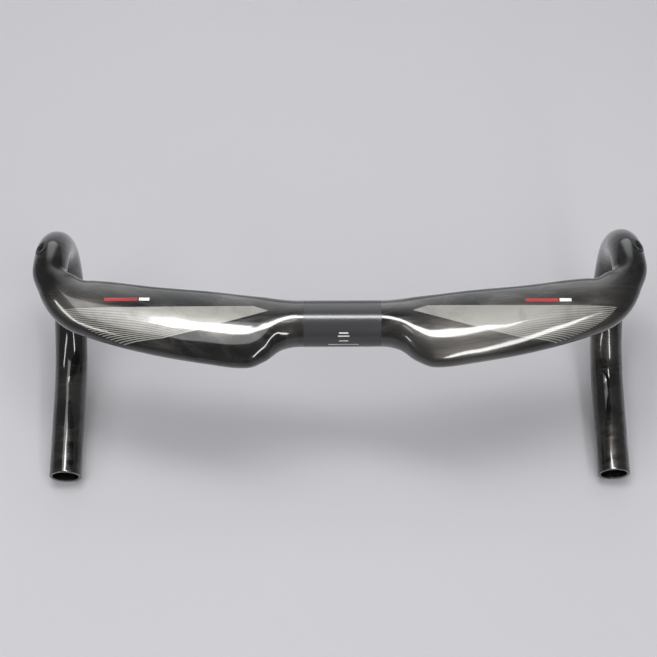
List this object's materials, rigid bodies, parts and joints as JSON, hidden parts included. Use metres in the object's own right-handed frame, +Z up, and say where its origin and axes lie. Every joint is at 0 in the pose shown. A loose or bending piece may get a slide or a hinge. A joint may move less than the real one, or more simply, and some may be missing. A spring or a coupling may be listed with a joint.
{
  "type": "drop handlebar",
  "caption": "Drop handlebar for a road bicycle: round stem clamp, flattened wing tops with a trailing bulge, compact curved hooks, open drop ends and cable ports.",
  "frame": {"origin": "centre of the stem clamp, on the bar's axis", "axes": "+X to the rider's right along the clamp, +Y forward towards the hooks, +Z up; the bar is level as on a bicycle"},
  "size_m": [0.4238, 0.1498, 0.1573],
  "materials": {
    "gloss_carbon": "clear-coated moulded carbon, cloudy black, high gloss",
    "satin_carbon": "fine satin, uncoated clamp zone",
    "raw_carbon": "bare laminate inside the bar",
    "port_rubber": "matt black rubber",
    "liner_plastic": "milky low-friction liner",
    "silver_print": "pale warm silver print under clear coat",
    "red_print": "red print under clear coat",
    "white_print": "white print"
  },
  "bodies": {
    "root": {"clamp_section": "satin_carbon", "clamp_core": "raw_carbon", "clamp_index_transfer": "white_print", "left_top_wing": "gloss_carbon", "left_drop": "gloss_carbon", "left_joint_sleeve": "raw_carbon", "left_entry_grommet": "port_rubber", "left_exit_grommet": "port_rubber", "left_cable_liner": "liner_plastic", "left_panel_transfer": "silver_print", "left_red_transfer": "red_print", "left_white_transfer": "white_print", "right_top_wing": "gloss_carbon", "right_drop": "gloss_carbon", "right_joint_sleeve": "raw_carbon", "right_entry_grommet": "port_rubber", "right_exit_grommet": "port_rubber", "right_cable_liner": "liner_plastic", "right_panel_transfer": "silver_print", "right_red_transfer": "red_print", "right_white_transfer": "white_print"}
  },
  "joints": []
}
